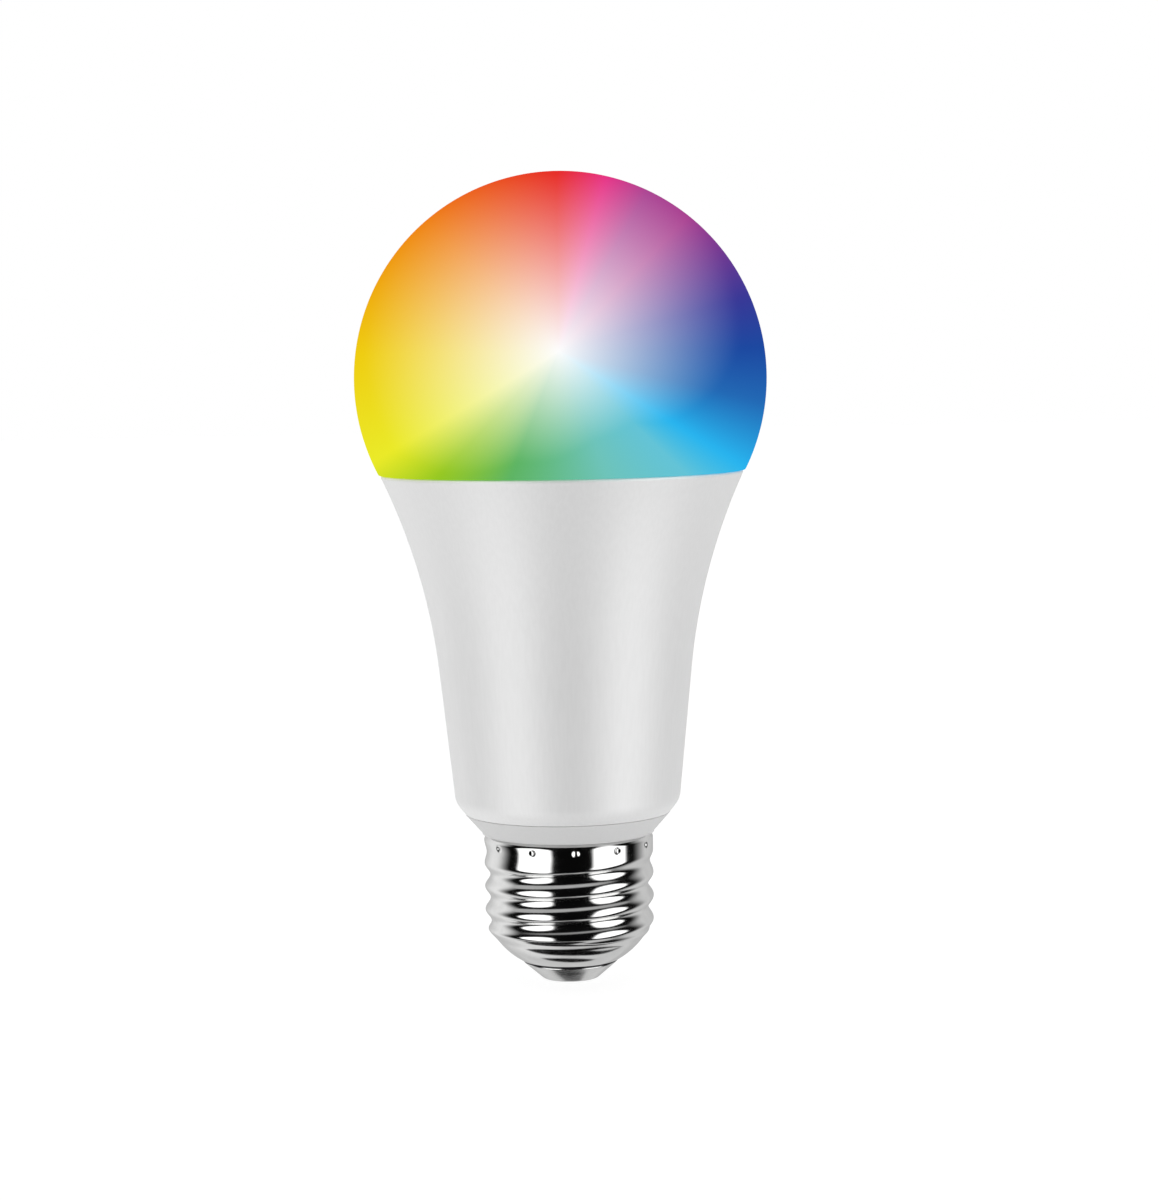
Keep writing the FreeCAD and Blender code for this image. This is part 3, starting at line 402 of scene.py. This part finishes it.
def make_housing():
    """White housing: a rolled rim at the globe, a concave flare, a rounded corner and a flat foot."""
    lip_foot = SEAM - 0.5
    rim_radius = flare(lip_foot, SEAM, steps=1)[0][0]
    outline = [SEAT, (SEAT[0], SEAM, 0.1), (rim_radius, SEAM, 0.28), (rim_radius, lip_foot, 0.03)]
    outline += flare(lip_foot - 0.1, WAIST[1])
    outline += [
        (*CORNER, 3.3),
        (PARTING[0] + 0.02, PARTING[1] + 0.06, 0.1),
        (CASE_BORE, PARTING[1]),
        (CASE_BORE, PARTING[1] + HOUSING_WALL, 0.2),
        (CORNER[0] - 0.9, CORNER[1] + 0.2, 0.6),
    ]
    outline += flare(WAIST[1], SEAT[1], HOUSING_WALL)
    return lathe("housing_shell", rounded(outline, 10))


NECK = (10.4, 11.75)
NECK_FOOT = 9.4
NECK_HEAD = 21.0
LAND_RADIUS = 12.45
COLLAR_FOOT = 13.4
TUBE_FOOT = 15.4
TUBE_HEAD = (15.9, 62.0)
TUBE_WALL = 1.2
RAIL_REACH = (12.4, 14.6)
RAIL_THICK = 1.0
RAIL_FACES = (-2.3, -4.7)
RAIL_HEIGHTS = (30, 58)


def make_collar():
    """Driver case: the collar that shows, the neck in the cap, and the tube with its board rails."""
    outline = [
        (NECK[0], NECK_FOOT, 0.3),
        (NECK[1] - 0.35, NECK_FOOT, 0.3),
        (NECK[1], NECK_FOOT + 2.0),
        (NECK[1], NECK_HEAD),
        (LAND_RADIUS, NECK_HEAD, 0.2),
        (LAND_RADIUS, CAP_TOP - 1.0),
        (LAND_RADIUS - 0.4, CAP_TOP),
        (COLLAR_FOOT, CAP_TOP, 0.08),
        (COLLAR_FOOT + 0.02, CAP_TOP + 0.22, 0.08),
        (PARTING[0] - 0.04, PARTING[1] - 0.1, 0.08),
        (PARTING[0] - 0.1, PARTING[1]),
        (TUBE_FOOT, PARTING[1]),
        (*TUBE_HEAD, 0.3),
        (TUBE_HEAD[0] - TUBE_WALL, TUBE_HEAD[1], 0.3),
        (TUBE_FOOT - TUBE_WALL, PARTING[1] - 0.6, 0.6),
        (NECK[0], CAP_TOP - 0.4, 0.6),
    ]
    vertices, faces = turned_faces(rounded(outline))
    for side in (-1, 1):
        near, far = sorted(reach * side for reach in RAIL_REACH)
        for face in RAIL_FACES:
            low = (near, face, RAIL_HEIGHTS[0])
            high = (far, face + RAIL_THICK, RAIL_HEIGHTS[1])
            add_block(vertices, faces, low, high)
    return new_piece("driver_case_shell", vertices, faces)


# The cap's rule is the CAD's: a bowl and a cylinder blended into one skin, less the thread's groove.
CREST = 13.15
PITCH = 3.629
GROOVE = 0.86
CREST_DATUM = 16.5
THREAD_FOOT = 7.2
THREAD_FOOT_FADE = 1.6
HALF_GROOVE = 0.46
HALF_FROM = -0.45
HALF_SPAN = 0.6
END_FROM = 0.75
END_SPAN = 0.8
BOWL_CENTRE = (1.85, 13.43)
BOWL_RADIUS = 11.9
CAP_BLEND = 0.4
SHOULDER = 0.4
SHOULDER_LEVEL = 8.3
SHOULDER_HALF = 2.0
TUCK = 22.1
TUCK_SLOPE = 0.6
TUCK_ROUND = 0.12
LIP = 3.0
SHEET = 0.3
# The inner skin is set in by more than the sheet, because the skins slope.
SKIN_INSET = SHEET * 1.15
DENTS = 12
DENT_LEVEL = 21.5
DENT_BALL = 0.65
DENT_BALL_OUT = 13.5
DENT_FIRST = -115.0
DENT_EDGE = 0.22
CAP_AROUND = 400
CAP_ALONG = 192


def soft(share):
    share = min(max(share, 0.0), 1.0)
    return share * share * (3 - 2 * share)


def cap_radius(angle, level):
    """Outer radius of the rolled cap at an angle and a height, in millimetres, without its dents."""
    below = min(level - BOWL_CENTRE[1], 0.0)
    bowl = BOWL_CENTRE[0] + math.sqrt(BOWL_RADIUS**2 - below**2)
    bowl += SHOULDER * max(1 - ((level - SHOULDER_LEVEL) / SHOULDER_HALF) ** 2, 0.0) ** 2
    share = min(max(0.5 + 0.5 * (CREST - bowl) / CAP_BLEND, 0.0), 1.0)
    skin = CREST * (1 - share) + bowl * share - CAP_BLEND * share * (1 - share)
    turns = (level - CREST_DATUM) / PITCH - angle / (2 * math.pi)
    half_turns_up = 2 * math.floor(turns) + angle / math.pi
    fade = 1 - HALF_GROOVE * soft((half_turns_up - HALF_FROM) / HALF_SPAN)
    fade -= (1 - HALF_GROOVE) * soft((half_turns_up - END_FROM) / END_SPAN)
    fade *= soft((level - THREAD_FOOT) / THREAD_FOOT_FADE)
    tucked = max(level - TUCK, 0.0)
    skin -= TUCK_SLOPE * tucked**2 / (tucked + TUCK_ROUND)
    return skin - GROOVE * fade * (1 - math.cos(2 * math.pi * turns)) / 2


def dented(radius, angle, level):
    """Radius after the crimp dents, each a small ball pressed in with a soft edge."""
    step = 2 * math.pi / DENTS
    first = math.radians(DENT_FIRST)
    off = (angle - first + step / 2) % step - step / 2
    reach = DENT_BALL_OUT * math.cos(off)
    room = reach**2 - DENT_BALL_OUT**2 - (level - DENT_LEVEL) ** 2 + DENT_BALL**2
    if room <= 0:
        return radius
    near = reach - math.sqrt(room)
    share = min(max(0.5 + 0.5 * (radius - near) / DENT_EDGE, 0.0), 1.0)
    return radius * (1 - share) + near * share - DENT_EDGE * share * (1 - share)


def make_cap():
    """Rolled screw cap: one even sheet, closed by a plain rim above and a lip below."""
    vertices, rings = [], []

    def ring(radius_at, level_at):
        rings.append(len(vertices))
        for step in range(CAP_AROUND):
            angle = 2 * math.pi * step / CAP_AROUND
            radius, level = radius_at(angle) * MM, level_at * MM
            vertices.append((radius * math.cos(angle), radius * math.sin(angle), level))

    levels = [LIP + (CAP_TOP - LIP) * step / CAP_ALONG for step in range(CAP_ALONG + 1)]
    for level in levels:
        ring(lambda angle: dented(cap_radius(angle, level), angle, level), level)
    for level in levels[::-4]:
        ring(lambda angle: cap_radius(angle, level) - SKIN_INSET, level)
    faces = []
    for index, start in enumerate(rings):
        after = rings[(index + 1) % len(rings)]
        for step in range(CAP_AROUND):
            following = (step + 1) % CAP_AROUND
            faces.append([start + step, start + following, after + following, after + step])
    return new_piece("screw_cap", vertices, faces)


def make_insulator():
    """Dark cup between the cap's lip and the contact, with a hollow boss for the contact's pin."""
    outline = [
        (1.3, 2.7),
        (7.38, 2.7, 0.08),
        (7.38, 2.97, 0.08),
        (6.93, 2.97),
        (7.03, 3.1),
        (10.73, 6.8, 0.2),
        (10.73, 7.6, 0.2),
        (9.63, 7.6, 0.2),
        (9.63, 7.2),
        (6.53, 4.1, 0.3),
        (2.6, 4.1, 0.3),
        (2.6, 5.6, 0.3),
        (1.3, 5.6),
    ]
    return lathe("insulator_cup", rounded(outline), 128)


def make_contact():
    """Contact dish: flat bottom, rounded heel, conical side and a fine rim."""
    sheet = 0.45
    outline = [
        (0, 0),
        (4.25, 0, 1.0),
        (7.2, 2.55, 0.1),
        (7.15, 2.7, 0.05),
        (6.75, 2.7),
        (6.75, 2.5),
        (4.12, sheet, 0.7),
        (0, sheet),
    ]
    return lathe("contact_dish", rounded(outline, 8), 128)


# ---------------------------------------------------------------------------------------------
# Materials
# ---------------------------------------------------------------------------------------------
def srgb(red, green, blue):
    """Linear colour from 0 to 255 display values."""
    def channel(value):
        value /= 255
        return value / 12.92 if value <= 0.04045 else ((value + 0.055) / 1.055) ** 2.4
    return (channel(red), channel(green), channel(blue), 1.0)


def start_material(name):
    material = bpy.data.materials.new(name)
    material.use_nodes = True
    build = Nodes(material.node_tree)
    shader = build.add("ShaderNodeBsdfPrincipled")
    output = build.add("ShaderNodeOutputMaterial")
    build.feed(output.inputs["Surface"], shader.outputs[0])
    return material, build, shader


def object_place(build, scale=(1, 1, 1)):
    """Object coordinates in millimetres, stretched by scale."""
    mapping = build.add("ShaderNodeMapping")
    mapping.inputs["Scale"].default_value = [factor / MM for factor in scale]
    build.feed(mapping.inputs["Vector"], build.add("ShaderNodeTexCoord").outputs["Object"])
    return mapping.outputs[0]


def noise(build, place, scale, detail=3.0):
    node = build.add("ShaderNodeTexNoise")
    build.feed(node.inputs["Vector"], place)
    node.inputs["Scale"].default_value = scale
    node.inputs["Detail"].default_value = detail
    return node.outputs["Fac"]


def bump(build, shader, height, distance_mm, strength=1.0):
    node = build.add("ShaderNodeBump")
    node.inputs["Distance"].default_value = distance_mm * MM
    node.inputs["Strength"].default_value = strength
    build.feed(node.inputs["Height"], height)
    build.feed(shader.inputs["Normal"], node.outputs[0])


# Colours of the lit globe, in display values.
NAVY = (35, 75, 160)
INDIGO = (60, 60, 150)
PURPLE = (165, 60, 140)
PINK = (230, 40, 125)
RED = (230, 30, 25)
ORANGE = (240, 125, 20)
AMBER = (240, 205, 25)
YELLOW = (235, 235, 45)
LIME = (150, 200, 40)
GREEN = (95, 180, 100)
AQUA = (110, 195, 185)
CYAN = (100, 195, 215)
SKY = (45, 180, 240)
BLUE = (40, 105, 180)
# The wheel: degrees from +X towards +Z, the colour that sits there, and how far from the wheel's centre,
# in millimetres, the white has faded into it.
WHEEL = [
    (0, NAVY, 28),
    (15, INDIGO, 29),
    (45, PURPLE, 31),
    (60, PURPLE, 31),
    (74, PINK, 31),
    (90, RED, 31),
    (135, ORANGE, 31),
    (180, AMBER, 31),
    (210, YELLOW, 30),
    (225, LIME, 26),
    (248, GREEN, 18),
    (290, AQUA, 14.5),
    (315, CYAN, 15.5),
    (327, SKY, 20),
    (345, BLUE, 25),
    (360, NAVY, 28),
]
WHEEL_CENTRE = 97.6
FADE_SCALE = 42.0
FADE = 0.95
GLOW = 0.97
GLOBE_TINT = 0.02


def glow_material():
    """Milky plastic lit from inside by a wheel of colours that is white at its centre."""
    material, build, shader = start_material("lit_colour_globe")
    place = build.add("ShaderNodeSeparateXYZ")
    build.feed(place.inputs[0], object_place(build))
    across, _, up = place.outputs
    up = build.maths("SUBTRACT", up, WHEEL_CENTRE)
    turn = build.maths("ARCTAN2", build.maths("MULTIPLY", up, -1.0), build.maths("MULTIPLY", across, -1.0))
    share = build.maths("MULTIPLY_ADD", turn, 1 / (2 * math.pi), 0.5)
    colours = [(degrees / 360, [part / 255 for part in colour]) for degrees, colour, _ in WHEEL]
    fades = [(degrees / 360, [reach / FADE_SCALE] * 3) for degrees, _, reach in WHEEL]
    colour = build.ramp(share, colours)
    reach = build.maths("MULTIPLY", build.ramp(share, fades), FADE_SCALE * FADE)
    flat = build.maths("ADD", build.maths("MULTIPLY", across, across), build.maths("MULTIPLY", up, up))
    distance = build.maths("SQRT", flat)
    depth = build.maths("DIVIDE", distance, reach)
    depth = build.maths("SMOOTH_MIN", depth, 1.0, 0.05)
    mixed = build.mix_colour(depth, (1, 1, 1, 1), colour)
    linear = build.add("ShaderNodeGamma")
    linear.inputs["Gamma"].default_value = 2.2
    build.feed(linear.inputs["Color"], mixed)
    glow = linear.outputs[0]
    build.feed(shader.inputs["Emission Color"], glow)
    shader.inputs["Emission Strength"].default_value = GLOW
    tint = build.mix_colour(1.0, glow, (GLOBE_TINT, GLOBE_TINT, GLOBE_TINT, 1), "MULTIPLY")
    build.feed(shader.inputs["Base Color"], tint)
    grain = noise(build, object_place(build), 0.9)
    build.feed(shader.inputs["Roughness"], build.smooth_step(grain, 0.3, 0.7, 0.34, 0.42))
    shader.inputs["Specular IOR Level"].default_value = 0.0
    bump(build, shader, grain, 0.01, 0.3)
    return material


def moulded_white(name, level, rough, sheen, streaks=True):
    """White moulded plastic with a pearly finish: faint drawn streaks and a fine spark-eroded skin."""
    material, build, shader = start_material(name)
    streak = noise(build, object_place(build, (2.5, 2.5, 0.03)), 1.0, 3.0)
    grain = noise(build, object_place(build), 2.6, 5.0)
    low, high = srgb(level - 1, level - 1, level - 1), srgb(level + 1, level + 1, level + 1)
    share = build.smooth_step(streak if streaks else grain, 0.35, 0.65)
    build.feed(shader.inputs["Base Color"], build.mix_colour(share, low, high))
    build.feed(shader.inputs["Roughness"], build.smooth_step(grain, 0.3, 0.7, rough - 0.02, rough + 0.02))
    shader.inputs["Metallic"].default_value = sheen
    bump(build, shader, grain, 0.006, 0.2)
    return material


def plated(name, colour, rough, brushed=0.0):
    """Plated metal with faint rubbing round the axis and small uneven patches."""
    material, build, shader = start_material(name)
    shader.inputs["Metallic"].default_value = 1.0
    rub = noise(build, object_place(build, (0.15, 0.15, 5.0)), 1.0, 4.0)
    patch = noise(build, object_place(build), 0.35, 3.0)
    darker = [part * 0.92 for part in colour]
    tone = build.mix_colour(build.smooth_step(patch, 0.3, 0.7), (*darker, 1), (*colour, 1))
    build.feed(shader.inputs["Base Color"], tone)
    mixed = build.maths("ADD", build.maths("MULTIPLY", rub, 0.5), build.maths("MULTIPLY", patch, 0.5))
    build.feed(shader.inputs["Roughness"], build.smooth_step(mixed, 0.3, 0.7, rough * 0.75, rough * 1.25))
    bump(build, shader, rub, 0.004 + brushed * 0.02, 0.2 + brushed)
    return material


def plain(name, colour, rough, metallic=0.0, vary=0.12, scale=1.2, bump_mm=0.02, **sockets):
    """General finish for an inner piece: uneven tone, uneven gloss and a fine surface."""
    material, build, shader = start_material(name)
    shader.inputs["Metallic"].default_value = metallic
    for socket, value in sockets.items():
        shader.inputs[socket.replace("_", " ")].default_value = value
    grain = noise(build, object_place(build), scale, 4.0)
    low = [part * (1 - vary) for part in colour]
    tone = build.mix_colour(build.smooth_step(grain, 0.3, 0.7), (*low, 1), (*colour, 1))
    build.feed(shader.inputs["Base Color"], tone)
    gloss = build.smooth_step(grain, 0.3, 0.7, rough * 0.85, min(rough * 1.15, 1))
    build.feed(shader.inputs["Roughness"], gloss)
    bump(build, shader, grain, bump_mm, 0.4)
    return material


def make_inner_materials():
    """One finish for each remaining material slot of the record."""
    finishes = {
        "clear_silicone": plain("clear_glue", (0.8, 0.82, 0.82), 0.25),
        "brass_pin": plain("brass", (0.72, 0.55, 0.28), 0.25, 1.0),
        "pressed_aluminium": plated("pressed_aluminium", (0.78, 0.79, 0.8), 0.32, 0.4),
        "grey_pad": plain("heat_pad", (0.3, 0.33, 0.38), 0.85, bump_mm=0.04),
        "white_solder_mask": plain("white_mask", (0.82, 0.82, 0.79), 0.3, vary=0.04),
        "green_board": plain("green_mask", (0.02, 0.16, 0.06), 0.3, scale=0.6),
        "blue_board": plain("blue_mask", (0.02, 0.05, 0.2), 0.3, scale=0.6),
        "led_white_body": plain("led_body", (0.8, 0.8, 0.76), 0.5, vary=0.05),
        "warm_phosphor": plain("warm_phosphor", (0.9, 0.5, 0.08), 0.35),
        "cool_phosphor": plain("cool_phosphor", (0.85, 0.78, 0.2), 0.35),
        "clear_window": plain("led_window", (0.7, 0.72, 0.72), 0.15),
        "screw_steel": plated("screw_steel", (0.6, 0.6, 0.62), 0.28),
        "tinned_copper": plain("tinned_copper", (0.75, 0.74, 0.72), 0.25, 1.0),
        "black_plastic": plain("black_plastic", (0.02, 0.02, 0.022), 0.45),
        "shield_steel": plated("shield_steel", (0.7, 0.71, 0.72), 0.3, 0.2),
        "bare_copper": plain("bare_copper", (0.8, 0.42, 0.22), 0.28, 1.0),
        "copper_winding": plain("copper_winding", (0.6, 0.24, 0.08), 0.3, 0.8),
        "capacitor_sleeve": plain("capacitor_sleeve", (0.02, 0.025, 0.05), 0.3),
        "ferrite": plain("ferrite", (0.05, 0.05, 0.055), 0.6, scale=2.5, bump_mm=0.05),
        "bobbin_plastic": plain("bobbin_plastic", (0.03, 0.03, 0.033), 0.5),
        "film_box": plain("film_box", (0.72, 0.5, 0.05), 0.35),
        "varistor_blue": plain("varistor_blue", (0.03, 0.1, 0.4), 0.3, bump_mm=0.05),
        "resistor_body": plain("resistor_body", (0.55, 0.45, 0.3), 0.45),
        "chip_black": plain("chip_black", (0.025, 0.025, 0.028), 0.55, scale=4.0),
        "chip_ceramic": plain("chip_ceramic", (0.3, 0.2, 0.12), 0.5),
        "solder": plain("solder", (0.75, 0.75, 0.74), 0.2, 1.0),
        "red_insulation": plain("red_insulation", (0.5, 0.02, 0.015), 0.35),
        "white_insulation": plain("white_insulation", (0.8, 0.8, 0.78), 0.35),
    }
    shown = {entry["node"]: entry["material_slot"] for entry in frame["record"]["subparts"]}
    for node, piece in frame["nodes"].items():
        material = finishes.get(shown[node])
        if material is None or piece.hide_render:
            continue
        for slot in piece.material_slots:
            slot.material = material


# ---------------------------------------------------------------------------------------------
# Assembly
# ---------------------------------------------------------------------------------------------
def main():
    add_camera()
    add_studio()
    add_floor()
    finish_piece(make_globe(), "diffuser", glow_material())
    satin = moulded_white("housing_white", 243, 0.6, 0.49)
    finish_piece(make_housing(), "housing", satin)
    # The collar's white is set darker than the housing's as painted shade for its downward-facing cone.
    collar_shaded_white = moulded_white("collar_white_painted_shade", 212, 0.55, 0.1, streaks=False)
    finish_piece(make_collar(), "driver_case", collar_shaded_white)
    nickel = plated("bright_nickel", (0.79, 0.79, 0.785), 0.1)
    finish_piece(make_cap(), "screw_shell", nickel)
    dark = plain("black_glass", (0.012, 0.012, 0.014), 0.15)
    finish_piece(make_insulator(), "base_insulator", dark)
    contact = plated("satin_contact", (0.79, 0.79, 0.785), 0.17, 0.0)
    finish_piece(make_contact(), "centre_contact", contact)
    make_inner_materials()
    bpy.context.scene.view_settings.view_transform = "Standard"


main()
